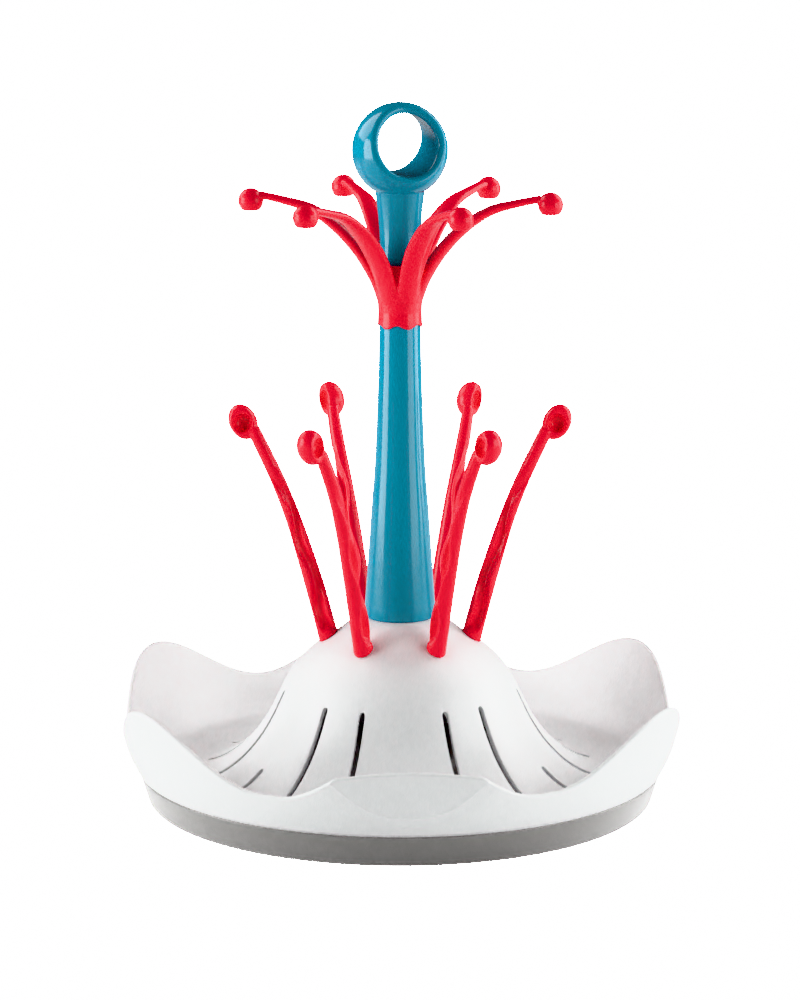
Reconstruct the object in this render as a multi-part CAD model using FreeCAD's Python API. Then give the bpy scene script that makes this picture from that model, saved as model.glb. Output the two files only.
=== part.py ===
import FreeCAD, Part
import math
import os

# Bottle drying rack, in millimetres. Z is up, -Y is the front and +X is the viewer's right.
# The origin is the centre of the drip tray's underside.

Vector = FreeCAD.Vector
UP = Vector(0, 0, 1)
ORIGIN = Vector(0, 0, 0)
FRONT = 270.0

# drip tray
TRAY_BASE_RADIUS = 123.0
TRAY_TOP_RADIUS = 127.3
TRAY_HEIGHT = 15.6
TRAY_WALL = 2.2
TRAY_FLOOR = 2.6
TRAY_CORNER = 4.0
TRAY_RECESS_INNER = 66.0
TRAY_RECESS_OUTER = 110.0
TRAY_RECESS_DEPTH = 0.8

# drainer bowl: one skin that runs from the central pin over the dome, the floor and up the wall
SKIN = 2.4
RIM_STEP = 1.4
NEST_TOP_RADIUS = 124.7
NEST_BOTTOM_RADIUS = 121.2
NEST_INNER_RADIUS = 118.6
NEST_BOTTOM = 8.4
PIN_FOOT_RADIUS = 14.0
PIN_TOP_RADIUS = 12.5
PIN_TOP = 118.0
DOME_TOP = 90.0
DOME = [(18.2, 90.0), (24.0, 87.2), (31.4, 81.6), (42.6, 74.0), (51.9, 64.4), (57.7, 54.0),
        (63.5, 42.1), (71.0, 30.7), (81.0, 20.8), (90.5, 15.2), (100.0, 13.0)]
FLOOR_CURL = [(112.5, 12.8), (119.8, 14.9), (124.8, 19.6)]
WALL_OUTER = [(127.8, 16.3), (131.0, 22.4), (133.4, 28.2), (135.0, 34.0), (136.6, 40.0),
              (138.6, 47.0), (141.1, 55.0), (143.9, 64.0)]
PETALS = 6
RIM_MIDDLE = 46.9
RIM_WAVE = 13.4
FRONT_VALLEY = 26.5
SLOT_WIDTH = 3.2
SLOT_HEIGHT = 56.0
SLOT_BOTTOM = 6.0
LONG_SLOT = (56.5, 96.0)
SHORT_SLOT = (77.0, 96.0)
LONG_SLOT_ANGLE = 20.0
TRIM_INNER = 105.0
TRIM_OUTER = 168.0
TRIM_HEIGHT = 60.0

# name-plate facet on the front petal, left blank
FACET_FRONT = 132.2
FACET_BOTTOM = 20.0
FACET_HALF_WIDTH = 40.0
FACET_TOP = 47.2
FACET_CROWN_RADIUS = 260.0

# trunk
TRUNK = [(17.0, 90.0), (17.2, 93.0), (16.9, 98.0), (16.1, 110.0), (15.3, 122.0), (13.6, 146.5),
         (12.5, 160.0), (11.6, 177.0), (10.9, 195.0), (10.3, 213.0), (10.0, 230.0), (10.0, 233.9)]
TRUNK_WALL = 2.1
TRUNK_TOP = 233.9

# crown of branches
CROWN_TURN = -9.0
BRANCHES = 6
SKIRT_RADIUS = 10.9
SKIRT_BORE = 10.3
SKIRT_LOW = 228.9
SKIRT_MIDDLE = 232.3
SKIRT_WAVE = 0.9
COLLAR = [(10.4, 238.9), (10.8, 243.9), (11.6, 248.9)]
CUP_RADIUS = 11.6
CUP_BORE = 10.1
CUP_FLOOR = 246.9
CUP_TOP = 262.4
TENON_RADIUS = 7.5
TENON_BORE = 5.6
TENON_BOTTOM = 214.9
BRANCH_LINE = [(6.8, 235.9), (8.2, 243.9), (12.0, 255.4), (20.0, 268.6), (30.5, 279.6),
               (43.0, 287.9), (55.0, 291.4), (67.0, 294.0)]
BRANCH_HALF_WIDTH = [3.4, 5.2, 6.0, 6.3, 5.8, 4.6, 3.5, 2.8]
BRANCH_HALF_THICKNESS = [2.2, 2.8, 3.2, 3.2, 2.9, 2.5, 2.0, 1.8]
BRANCH_SECTIONS = 12
BERRY_CENTRE = (71.8, 291.2)
BERRY_RADIUS = 6.1
BERRY_CUT = 4.7
BERRY_HOLLOW_RADIUS = 3.6

# handle
HANDLE_TURN = 17.0
BALL_RADIUS = 22.9
BALL_HEIGHT = 316.2
FINGER_RADIUS = 14.6
FINGER_HEIGHT = 319.4
FINGER_ROUNDING = 2.3
STEM = [(9.6, 246.9), (9.4, 263.9), (9.8, 276.0), (10.3, 283.0), (11.1, 291.0), (12.2, 299.0)]
SPIGOT_RADIUS = 5.3
SPIGOT_BOTTOM = 222.9

# pegs
PEG_TURN = -2.0
PEGS = [("peg_left_front", 240.0, 1), ("peg_left_middle", 180.0, 1), ("peg_left_back", 120.0, 1),
        ("peg_right_front", 300.0, -1), ("peg_right_middle", 0.0, -1), ("peg_right_back", 60.0, -1)]
PEG_LINE = [(32.8, 71.2), (36.0, 84.6), (40.7, 102.6), (46.0, 120.6), (51.8, 138.8), (58.8, 156.8),
            (67.2, 174.6), (70.6, 181.5)]
PEG_HALF_WIDTH = [5.0, 4.9, 4.8, 4.4, 3.9, 3.6, 3.4, 3.2]
PEG_HALF_DEPTH = [4.6, 4.6, 4.6, 4.3, 4.0, 3.7, 3.4, 3.0]
PEG_CHANNEL = [0.0, 0.0, 0.62, 0.66, 0.66, 0.62, 0.40, 0.0]
CHANNEL_SPREAD = 0.55
CHANNEL_SWING = 0.35
CHANNEL_WAVES = 2.6
PEG_SECTIONS = 16
PEG_LEAN = 15.0
PEG_SPIGOT_RADIUS = 3.4
PEG_SPIGOT_LENGTH = 13.0
PEG_SPIGOT_OVERLAP = 4.0
PEG_SPIGOT_TOP = (35.2, 80.4)
SOCKET_CLEARANCE = 0.25
SOCKET_WALL = 1.8
EGG_CENTRE = (75.6, 184.8)
EGG_BACK_SHIFT = 3.6
EGG_BEND_START = 0.75
EGG_LEAN = 25.0
EGG_HALF_LENGTH = 9.0
EGG_HALF_WIDTH = 6.8
EGG_FACE = 4.0
EGG_RECESS_RADIUS = 5.2
EGG_RECESS_DEPTH = 4.0

CLEARANCE = 0.3
SECTION_POINTS = 20


def spot(radius, height):
    """Point in the front-to-side half plane that every turned part is drawn in."""
    return Vector(radius, 0, height)


def spots(pairs):
    return [spot(radius, height) for radius, height in pairs]


def spline(points):
    """Smooth edge through the points."""
    curve = Part.BSplineCurve()
    curve.interpolate(points)
    return curve.toShape()


def line(start, end):
    return Part.makeLine(start, end)


def chain(pairs):
    """Straight edges from point to point."""
    points = spots(pairs)
    return [line(a, b) for a, b in zip(points, points[1:])]


def turned(edges):
    """Solid of revolution about Z from a closed run of edges."""
    wire = Part.Wire(Part.__sortEdges__(edges))
    return Part.Face(wire).revolve(ORIGIN, UP, 360)


def beside(edge, distance, start, end, count):
    """Points at a distance to the right of a smooth edge, between two of its parameters' shares."""
    first, last = edge.ParameterRange
    points = []
    for index in range(count):
        share = start + (end - start) * index / (count - 1)
        value = first + (last - first) * share
        place = edge.valueAt(value)
        way = edge.tangentAt(value)
        points.append(place + Vector(way.z, 0, -way.x) * distance)
    return points


def spin(shape, angle):
    """Copy turned about Z."""
    copy = shape.copy()
    copy.rotate(ORIGIN, UP, angle)
    return copy


def wave(level, radius, steps=120):
    """Closed wavy curve on a cylinder, whose height is level at each angle in degrees."""
    points = []
    for step in range(steps):
        degrees = 360.0 * step / steps
        angle = math.radians(degrees)
        points.append(Vector(radius * math.cos(angle), radius * math.sin(angle), level(degrees)))
    curve = Part.BSplineCurve()
    curve.interpolate(points, PeriodicFlag=True)
    return curve.toShape()


def wavy_block(level, inner, outer, rise):
    """Ring-shaped block on one side of a wavy surface: above it for a positive rise, else below."""
    return Part.makeRuledSurface(wave(level, inner), wave(level, outer)).extrude(Vector(0, 0, rise))


def rim_level(degrees):
    """Height of the petals' rim; the two valleys beside the front petal are wider than the rest."""
    off = abs((degrees - FRONT + 180) % 360 - 180)
    valley = 180.0 / PETALS
    if off < FRONT_VALLEY:
        off *= valley / FRONT_VALLEY
    elif off < valley:
        off = valley
    return RIM_MIDDLE + RIM_WAVE * math.cos(PETALS * math.radians(off))


def skirt_level(degrees):
    """Lower edge of the crown's skirt, lowest under each branch."""
    first = FRONT + 180.0 / BRANCHES + CROWN_TURN
    return SKIRT_MIDDLE - SKIRT_WAVE * math.cos(BRANCHES * math.radians(degrees - first))


def drip_tray():
    """Shallow round tray that catches the water."""
    recess = [(0, 0), (TRAY_RECESS_INNER, 0), (TRAY_RECESS_INNER, TRAY_RECESS_DEPTH),
              (TRAY_RECESS_OUTER, TRAY_RECESS_DEPTH), (TRAY_RECESS_OUTER, 0),
              (TRAY_BASE_RADIUS - TRAY_CORNER, 0)]
    inner_top = TRAY_TOP_RADIUS - TRAY_WALL
    inner_foot = TRAY_BASE_RADIUS - TRAY_WALL
    inside = [(TRAY_TOP_RADIUS, TRAY_HEIGHT), (inner_top, TRAY_HEIGHT),
              (inner_foot, TRAY_FLOOR + TRAY_CORNER)]
    corner_mid = TRAY_CORNER * (1 - math.sqrt(0.5))
    outer_corner = Part.Arc(spot(TRAY_BASE_RADIUS - TRAY_CORNER, 0),
                            spot(TRAY_BASE_RADIUS - corner_mid, corner_mid),
                            spot(TRAY_BASE_RADIUS, TRAY_CORNER)).toShape()
    inner_corner = Part.Arc(spot(inner_foot, TRAY_FLOOR + TRAY_CORNER),
                            spot(inner_foot - corner_mid, TRAY_FLOOR + corner_mid),
                            spot(inner_foot - TRAY_CORNER, TRAY_FLOOR)).toShape()
    edges = chain(recess)
    edges.append(outer_corner)
    edges += chain([(TRAY_BASE_RADIUS, TRAY_CORNER), (TRAY_TOP_RADIUS, TRAY_HEIGHT)])
    edges += chain(inside)
    edges.append(inner_corner)
    edges += chain([(inner_foot - TRAY_CORNER, TRAY_FLOOR), (0, TRAY_FLOOR), (0, 0)])
    return turned(edges)


def skin_line():
    """Upper face of the bowl's skin: dome, floor and the inside of the wall."""
    wall = spline(spots(WALL_OUTER))
    inside = beside(wall, -SKIN, 0.34, 1.0, 6)
    points = spots(DOME) + spots(FLOOR_CURL) + inside
    return spline(points)


def bowl_shell():
    """Whole turned skin before the rim is trimmed, with the nesting ring and the central pin."""
    upper = skin_line()
    wall = spline(spots(WALL_OUTER))
    inner_top = upper.valueAt(upper.ParameterRange[1])
    under_points = beside(upper, SKIN, 0.0, 0.62, 24)
    under = spline(under_points)
    under_start = under_points[0]
    under_end = under_points[-1]
    pin_inner = PIN_FOOT_RADIUS - SKIN
    edges = [upper, wall, under]
    edges.append(line(inner_top, wall.valueAt(wall.ParameterRange[1])))
    edge_radius, edge_height = WALL_OUTER[0]
    edges += chain([(edge_radius, edge_height), (edge_radius - RIM_STEP, edge_height),
                    (edge_radius - RIM_STEP, TRAY_HEIGHT), (NEST_TOP_RADIUS, TRAY_HEIGHT),
                    (NEST_BOTTOM_RADIUS, NEST_BOTTOM), (NEST_INNER_RADIUS, NEST_BOTTOM),
                    (NEST_INNER_RADIUS, under_end.z), (under_end.x, under_end.z)])
    edges += chain([(under_start.x, under_start.z), (pin_inner, under_start.z),
                    (PIN_TOP_RADIUS - SKIN, PIN_TOP - SKIN), (0, PIN_TOP - SKIN), (0, PIN_TOP),
                    (PIN_TOP_RADIUS, PIN_TOP), (PIN_FOOT_RADIUS, DOME_TOP), DOME[0]])
    return turned(edges)


def facet_plate():
    """Flat plate across the front petal, bounded by the outside of the bowl."""
    plate = Part.makeBox(2 * FACET_HALF_WIDTH, SKIN, FACET_TOP - FACET_BOTTOM,
                         Vector(-FACET_HALF_WIDTH, -FACET_FRONT, FACET_BOTTOM))
    wall = spline(spots(WALL_OUTER))
    start = wall.valueAt(wall.ParameterRange[0])
    end = wall.valueAt(wall.ParameterRange[1])
    filled = turned([wall] + chain([(end.x, end.z), (0, end.z), (0, start.z), (start.x, start.z)]))
    return plate.common(filled)


def facet_crown():
    """Block above the facet's gently crowned top edge."""
    reach = FACET_HALF_WIDTH
    centre = Vector(0, -FACET_FRONT - 20, FACET_TOP - FACET_CROWN_RADIUS)
    disc = Part.makeCylinder(FACET_CROWN_RADIUS, 60, centre, Vector(0, 1, 0))
    block = Part.makeBox(2 * reach, 60, 60, Vector(-reach, -FACET_FRONT - 20, FACET_TOP - 8))
    return block.cut(disc)


def slot_cutter(reach, angle):
    """Upright radial blade with rounded ends."""
    start, end = reach
    half = SLOT_WIDTH / 2
    blade = Part.makeBox(end - start - SLOT_WIDTH, SLOT_WIDTH, SLOT_HEIGHT,
                         Vector(start + half, -half, SLOT_BOTTOM))
    for centre in (start + half, end - half):
        blade = blade.fuse(Part.makeCylinder(half, SLOT_HEIGHT, Vector(centre, 0, SLOT_BOTTOM)))
    return spin(blade.removeSplitter(), angle)


def slot_cutters():
    cutters = []
    for petal in range(PETALS):
        middle = FRONT + petal * 360.0 / PETALS
        cutters.append(slot_cutter(SHORT_SLOT, middle))
        for side in (-1, 1):
            cutters.append(slot_cutter(LONG_SLOT, middle + side * LONG_SLOT_ANGLE))
    return cutters


def peg_axis():
    """Direction of a peg's spigot, in the peg's own half plane."""
    lean = math.radians(PEG_LEAN)
    return Vector(math.sin(lean), 0, math.cos(lean))


def spigot_rod(radius, extra):
    """Round rod along the peg's spigot, drawn down from just under the dome's face."""
    way = peg_axis()
    top = spot(*PEG_SPIGOT_TOP) + way * PEG_SPIGOT_OVERLAP
    length = PEG_SPIGOT_LENGTH + extra + PEG_SPIGOT_OVERLAP
    return Part.makeCylinder(radius, length, top, way * -1)


def dome_fill():
    """Everything below the bowl's upper face."""
    upper = skin_line()
    end = upper.valueAt(upper.ParameterRange[1])
    start = spot(*DOME[0])
    return turned([upper] + chain([(end.x, end.z), (end.x, 0), (0, 0), (0, start.z), (start.x, start.z)]))


def socket_tube(fill):
    """Closed tube under the dome that a peg's spigot drops into."""
    outer = PEG_SPIGOT_RADIUS + SOCKET_CLEARANCE + SOCKET_WALL
    return spigot_rod(outer, SOCKET_WALL + CLEARANCE).common(fill)


def drainer_bowl(fill):
    """Petal bowl with its dome, sockets, pin and drain slots, in one moulding."""
    bowl = bowl_shell()
    tubes = [spin(socket_tube(fill), angle + PEG_TURN) for name, angle, side in PEGS]
    bowl = bowl.fuse(tubes)
    bores = [spin(spigot_rod(PEG_SPIGOT_RADIUS + SOCKET_CLEARANCE, CLEARANCE), angle + PEG_TURN)
             for name, angle, side in PEGS]
    bowl = bowl.cut(bores)
    front_space = Part.makeBox(200, 60, 80, Vector(-100, -FACET_FRONT - 60, FACET_BOTTOM))
    bowl = bowl.cut(front_space).fuse(facet_plate())
    bowl = bowl.cut(wavy_block(rim_level, TRIM_INNER, TRIM_OUTER, TRIM_HEIGHT))
    bowl = bowl.cut(facet_crown())
    bowl = bowl.cut(slot_cutters())
    return bowl.removeSplitter()


def trunk():
    """Hollow tapered post that drops over the bowl's pin."""
    outer = spline(spots(TRUNK))
    inner_points = beside(outer, -TRUNK_WALL, 0.0, 1.0, 12)
    inner_points[-1] = spot(inner_points[-1].x, TRUNK_TOP)
    inner = spline(inner_points)
    first = inner_points[0]
    last = inner_points[-1]
    bore_start = spot(first.x, TRUNK[0][1])
    edges = [outer, inner, line(spot(*TRUNK[-1]), last)]
    edges.append(line(spot(*TRUNK[0]), first))
    return turned(edges)


def section(centre, side, up, half_side, half_up, dent=0.0, dent_angle=0.0, dent_spread=1.0):
    """Closed smooth section: an ellipse with an optional groove pressed into one side."""
    points = []
    for index in range(SECTION_POINTS):
        angle = 2 * math.pi * index / SECTION_POINTS
        away = math.remainder(angle - dent_angle, 2 * math.pi) / dent_spread
        press = 1.0 - dent * math.exp(-away * away)
        offset = side * (half_side * math.cos(angle) * press)
        offset += up * (half_up * math.sin(angle) * press)
        points.append(centre + offset)
    curve = Part.BSplineCurve()
    curve.interpolate(points, PeriodicFlag=True)
    return Part.Wire(curve.toShape())


def line_frames(pairs, finer):
    """Places and directions along a smooth line, with the share of its length at each."""
    edge = spline(spots(pairs))
    first, last = edge.ParameterRange
    frames = []
    for index in range(finer):
        share = index / (finer - 1)
        value = first + (last - first) * share
        frames.append((share, edge.valueAt(value), edge.tangentAt(value)))
    return frames


def blend(values, share):
    """Value at a share of the way along an evenly spaced list."""
    place = share * (len(values) - 1)
    index = min(int(place), len(values) - 2)
    rest = place - index
    return values[index] * (1 - rest) + values[index + 1] * rest


def branch():
    """One branch of the crown with the berry at its end, pointing along +X."""
    wires = []
    for share, place, way in line_frames(BRANCH_LINE, BRANCH_SECTIONS):
        outward = Vector(way.z, 0, -way.x)
        wires.append(section(place, Vector(0, 1, 0), outward, blend(BRANCH_HALF_WIDTH, share),
                             blend(BRANCH_HALF_THICKNESS, share)))
    arm = Part.makeLoft(wires, True, False)
    centre = spot(*BERRY_CENTRE)
    berry = Part.makeSphere(BERRY_RADIUS, centre)
    cut = Part.makeBox(20, 20, 10, centre + Vector(-10, -10, -BERRY_CUT - 10))
    hollow = Part.makeSphere(BERRY_HOLLOW_RADIUS, centre + Vector(0, 0, -BERRY_CUT))
    return arm.fuse(berry).cut(cut).cut(hollow)


def branch_crown():
    """Collar, cup and tenon in one piece with six branches."""
    core = turned(chain([(TENON_BORE, TENON_BOTTOM), (TENON_RADIUS, TENON_BOTTOM),
                         (TENON_RADIUS, TRUNK_TOP), (SKIRT_BORE, TRUNK_TOP),
                         (SKIRT_BORE, SKIRT_LOW), (SKIRT_RADIUS, SKIRT_LOW)] + COLLAR
                        + [(CUP_RADIUS, CUP_TOP), (CUP_BORE, CUP_TOP), (CUP_BORE, CUP_FLOOR),
                           (TENON_BORE, CUP_FLOOR), (TENON_BORE, TENON_BOTTOM)]))
    core = core.cut(wavy_block(skirt_level, SKIRT_BORE - 0.4, SKIRT_RADIUS + 3, -10))
    arm = branch()
    keep_out = Part.makeCylinder(CUP_BORE, 40, Vector(0, 0, CUP_FLOOR))
    keep_out = keep_out.fuse(Part.makeCylinder(TENON_BORE, 60, Vector(0, 0, TENON_BOTTOM)))
    arms = []
    for index in range(BRANCHES):
        arms.append(spin(arm, FRONT + 30 + CROWN_TURN + index * 360.0 / BRANCHES))
    return core.fuse(arms).cut(keep_out).removeSplitter()


def handle():
    """Ball with a finger hole on a tapered stem, and the spigot that drops into the crown."""
    ball = Part.makeSphere(BALL_RADIUS, Vector(0, 0, BALL_HEIGHT))
    side = spline(spots(STEM))
    stem = turned([side] + chain([STEM[-1], (0, STEM[-1][1]), (0, STEM[0][1]), STEM[0]]))
    spigot = Part.makeCylinder(SPIGOT_RADIUS, STEM[0][1] - SPIGOT_BOTTOM + 1,
                               Vector(0, 0, SPIGOT_BOTTOM))
    body = ball.fuse([stem, spigot])
    bore = Part.makeCylinder(FINGER_RADIUS, 80, Vector(0, -40, FINGER_HEIGHT), Vector(0, 1, 0))
    body = body.cut(bore).removeSplitter()
    rims = [edge for edge in body.Edges if on_finger_rim(edge)]
    body = body.makeFillet(FINGER_ROUNDING, rims)
    return spin(body, HANDLE_TURN)


def on_finger_rim(edge):
    """True for the edges on the finger hole, where it leaves the ball."""
    first, last = edge.ParameterRange
    for share in (0.2, 0.5, 0.8):
        point = edge.valueAt(first + (last - first) * share)
        on_hole = abs(math.hypot(point.x, point.z - FINGER_HEIGHT) - FINGER_RADIUS) < 0.01
        on_ball = abs((point - Vector(0, 0, BALL_HEIGHT)).Length - BALL_RADIUS) < 0.01
        if not (on_hole and on_ball):
            return False
    return True


def egg():
    """Long round peg tip with a round recess in its open side, which faces +Y."""
    reach = EGG_HALF_LENGTH - EGG_HALF_WIDTH
    solid = Part.makeCylinder(EGG_HALF_WIDTH, 2 * reach, spot(0, -reach))
    solid = solid.fuse([Part.makeSphere(EGG_HALF_WIDTH, spot(0, height)) for height in (-reach, reach)])
    face = Part.makeBox(30, 10, 30, Vector(-15, EGG_FACE, -15))
    depth = EGG_RECESS_DEPTH
    radius = (EGG_RECESS_RADIUS ** 2 + depth ** 2) / (2 * depth)
    recess = Part.makeSphere(radius, Vector(0, EGG_FACE + radius - depth, 0))
    solid = solid.cut(face).cut(recess)
    solid.rotate(ORIGIN, Vector(0, 1, 0), EGG_LEAN)
    solid.translate(Vector(EGG_CENTRE[0], -EGG_BACK_SHIFT, EGG_CENTRE[1]))
    return solid


def peg(fill):
    """Peg that leans outwards along +X, with its channel and recess open towards +Y."""
    wires = []
    for share, place, way in line_frames(PEG_LINE, PEG_SECTIONS):
        outward = Vector(way.z, 0, -way.x)
        bend = max(0.0, (share - EGG_BEND_START) / (1 - EGG_BEND_START))
        drift = -EGG_BACK_SHIFT * bend ** 2 / 2
        twist = CHANNEL_SWING * math.sin(2 * math.pi * share * CHANNEL_WAVES)
        wires.append(section(place + Vector(0, drift, 0), outward, Vector(0, 1, 0),
                             blend(PEG_HALF_WIDTH, share), blend(PEG_HALF_DEPTH, share),
                             blend(PEG_CHANNEL, share), math.pi / 2 + twist, CHANNEL_SPREAD))
    shaft = Part.makeLoft(wires, True, False)
    under = fill.copy()
    under.translate(Vector(0, 0, CLEARANCE))
    body = shaft.fuse(egg()).cut(under)
    return body.fuse(spigot_rod(PEG_SPIGOT_RADIUS, 0)).removeSplitter()


def placed_peg(shape, angle, side):
    """Peg at its own angle; a negative side mirrors it so that it opens the other way."""
    if side < 0:
        shape = shape.mirror(ORIGIN, Vector(0, 1, 0))
    return spin(shape, angle + PEG_TURN)


def save(shape, name):
    print(name, shape.isValid(), len(shape.Solids), round(shape.Volume), shape.ShapeType)
    shape.exportStep(os.path.join("parts", name + ".step"))


def main():
    os.makedirs("parts", exist_ok=True)
    fill = dome_fill()
    save(drip_tray(), "drip_tray")
    save(drainer_bowl(fill), "drainer_bowl")
    save(trunk(), "trunk")
    save(branch_crown(), "branch_crown")
    save(handle(), "handle")
    shape = peg(fill)
    for name, angle, side in PEGS:
        save(placed_peg(shape, angle, side), name)


main()
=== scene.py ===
import math

import bmesh
import bpy
import numpy as np
from mathutils import Matrix, Vector


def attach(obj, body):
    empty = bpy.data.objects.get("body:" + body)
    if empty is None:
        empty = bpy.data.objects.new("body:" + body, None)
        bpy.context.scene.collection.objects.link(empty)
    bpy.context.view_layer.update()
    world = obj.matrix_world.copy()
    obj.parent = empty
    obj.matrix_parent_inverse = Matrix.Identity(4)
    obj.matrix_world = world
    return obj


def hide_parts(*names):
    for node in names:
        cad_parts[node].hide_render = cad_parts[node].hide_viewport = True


# Bottle drying rack. Sizes are in millimetres until a mesh is made, and angles are in degrees.
# -Y is the front. Each visible piece is a mesh of its own that stands for the CAD node it covers.

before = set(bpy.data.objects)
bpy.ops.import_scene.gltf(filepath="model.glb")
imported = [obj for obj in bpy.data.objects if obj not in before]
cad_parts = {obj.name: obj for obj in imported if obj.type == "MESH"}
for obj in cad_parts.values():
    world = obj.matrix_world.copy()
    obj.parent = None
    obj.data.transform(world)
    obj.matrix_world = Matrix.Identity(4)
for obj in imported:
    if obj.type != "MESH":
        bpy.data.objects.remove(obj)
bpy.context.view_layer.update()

MM = 0.001
FRONT = 270.0
AXIS = 0.01  # radius that stands for the axis in a turned outline, so that every face has an area

# drip tray
TRAY_BASE_RADIUS = 123.0
TRAY_TOP_RADIUS = 127.3
TRAY_HEIGHT = 15.6
TRAY_WALL = 2.2
TRAY_FLOOR = 2.6
TRAY_RECESS = (66.0, 110.0, 0.8)
TRAY_SLOPE = 0.8
TRAY_SOFT_EDGE = 0.3
TRAY_OUTER_CORNER = 3.4
TRAY_INNER_CORNER = 4.0

# drainer bowl
SKIN = 2.4
BOWL_AXIS = 0.4
PIN_TOP = 118.0
PIN_TOP_RADIUS = 12.5
PIN_FOOT_RADIUS = 14.0
PIN_INSIDE = [(16.5, 87.6), (11.6, 87.6), (10.1, 115.6), (BOWL_AXIS, 115.6)]
DOME = [(18.2, 90.0), (24.0, 87.2), (31.4, 81.6), (42.6, 74.0), (51.9, 64.4), (57.7, 54.0),
        (63.5, 42.1), (71.0, 30.7), (81.0, 20.8), (90.5, 15.2), (100.0, 13.0), (112.5, 12.8),
        (119.8, 14.9), (124.8, 19.6)]
WALL_INNER = [(124.8, 19.6), (128.7, 25.2), (131.7, 32.1), (134.1, 40.0), (136.1, 47.5),
              (138.6, 55.5), (141.6, 64.5)]
WALL_OUTER = [(127.8, 16.3), (131.0, 22.4), (133.4, 28.2), (135.0, 34.0), (136.6, 40.0),
              (138.6, 47.0), (141.1, 55.0), (143.9, 64.0)]
WALL_FOOT = 16.3
# underside of the wall's foot and the ring below it that nests in the tray
NEST = [(127.6, 16.45), (127.1, 16.3), (126.4, 16.3), (126.4, 15.6), (124.7, 15.6), (121.4, 8.9),
        (120.9, 8.4), (119.1, 8.4), (118.6, 8.9), (118.6, 10.3)]
UNDERSIDE_END = 112.5
WALL_ROWS_INSIDE = 16
WALL_ROWS_OUTSIDE = 100
PETALS = 6
RIM_MIDDLE = 46.9
RIM_WAVE = 13.4
FRONT_VALLEY = 26.5
FACET_FRONT = 132.2
FACET_TOP = 47.2
FACET_CROWN_RADIUS = 260.0
FACET_STEP = 0.35
FACET_STEP_WIDTH = 0.35
FACET_FADE = 2.0
FACET_SOFT = 0.1
FACET_SOFT_INSIDE = 0.7
RIM_SOFT = 0.8
FACET_REACH = 40.0  # degrees beside the front within which the facet can trim the wall
TRIM_LIMIT = 60.0  # degrees up to which the facet's plane is followed in the sums
SLOTS = 18
SLOT_WIDTH = 3.1
LONG_SLOT_START = 57.8
SHORT_SLOT_START = 78.6
SLOT_END = 94.4
SLOT_SPREAD = (-1.0, -0.8, -0.4, 0.0, 0.4, 0.8, 1.0)  # columns across a slot, in half widths
GAPS_ACROSS_FACET = (0, 1)
FACET_COLUMNS = 130
NEAR_COLUMNS = 18
FAR_COLUMNS = 10
# rows of the skin above the long slots, between the two kinds' starts, along both, and beyond them
SKIN_ROWS = (22, 12, 9, 13)
LONG_SLOT_MARGIN = 3.6
SLOT_MARGIN = 3.0
SLOT_START_BOW = 0.62  # how far the slots' round ends reach, in slot widths
SLOT_END_BOW = 0.5
SLOT_MIN_RADIUS = 45.0
PEG_SPIGOT_RADIUS = 3.4
PEG_SPIGOT_LENGTH = 13.0
SOCKET_CLEARANCE = 0.25
SOCKET_WALL = 1.8
SOCKET_DEPTH = 13.3
SOCKET_MOUTH = -3.2
PEG_SPIGOT_TOP = (35.2, 80.4)
PEG_LEAN = 15.0

# trunk
TRUNK = [(17.0, 90.0), (17.2, 93.0), (16.9, 98.0), (16.1, 110.0), (15.3, 122.0), (13.6, 146.5),
         (12.5, 160.0), (11.6, 177.0), (10.9, 195.0), (10.3, 213.0), (10.0, 230.0), (10.0, 233.9)]
TRUNK_WALL = 2.1
TRUNK_TOP = 233.9

# crown
CROWN_TURN = -9.0
BRANCHES = 6
TENON_RADIUS = 7.5
TENON_BORE = 5.6
TENON_BOTTOM = 214.9
SKIRT_RADIUS = 10.9
SKIRT_BORE = 10.3
SKIRT_MIDDLE = 232.3
SKIRT_WAVE = 0.9
COLLAR = [(10.4, 238.9, 3.0), (10.8, 243.9, 6.0), (11.6, 248.9, 1.0)]
CUP_RADIUS = 11.6
CUP_BORE = 10.1
CUP_FLOOR = 246.9
CUP_TOP = 262.4
BORE_TOP = 290.0
BRANCH_LINE = [(6.8, 235.9), (8.2, 243.9), (12.0, 255.4), (20.0, 268.6), (30.5, 279.6),
               (43.0, 287.9), (55.0, 291.4), (67.0, 294.0)]
BRANCH_HALF_WIDTH = [3.4, 5.2, 6.0, 6.3, 5.8, 4.6, 3.5, 2.8]
BRANCH_HALF_THICKNESS = [2.2, 2.8, 3.2, 3.2, 2.9, 2.5, 2.0, 1.8]
BERRY_CENTRE = (71.8, 291.2)
BERRY_RADIUS = 6.1
BERRY_CUT = 0.77  # depth of the berry's flat underside below its centre, in radii
BRANCH_GROOVE_DEPTH = 0.38
BRANCH_GROOVE_SIDE = 48.0
CROWN_VOXEL = 0.42

# handle
HANDLE_TURN = 17.0
BALL_RADIUS = 22.9
BALL_HEIGHT = 316.2
FINGER_RADIUS = 14.6
FINGER_HEIGHT = 319.4
FINGER_ROUNDING = 2.3
STEM = [(9.6, 246.9), (9.4, 263.9), (9.8, 276.0), (10.3, 283.0), (11.1, 291.0), (12.2, 299.0)]
SPIGOT_RADIUS = 5.3
SPIGOT_BOTTOM = 222.9

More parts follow.
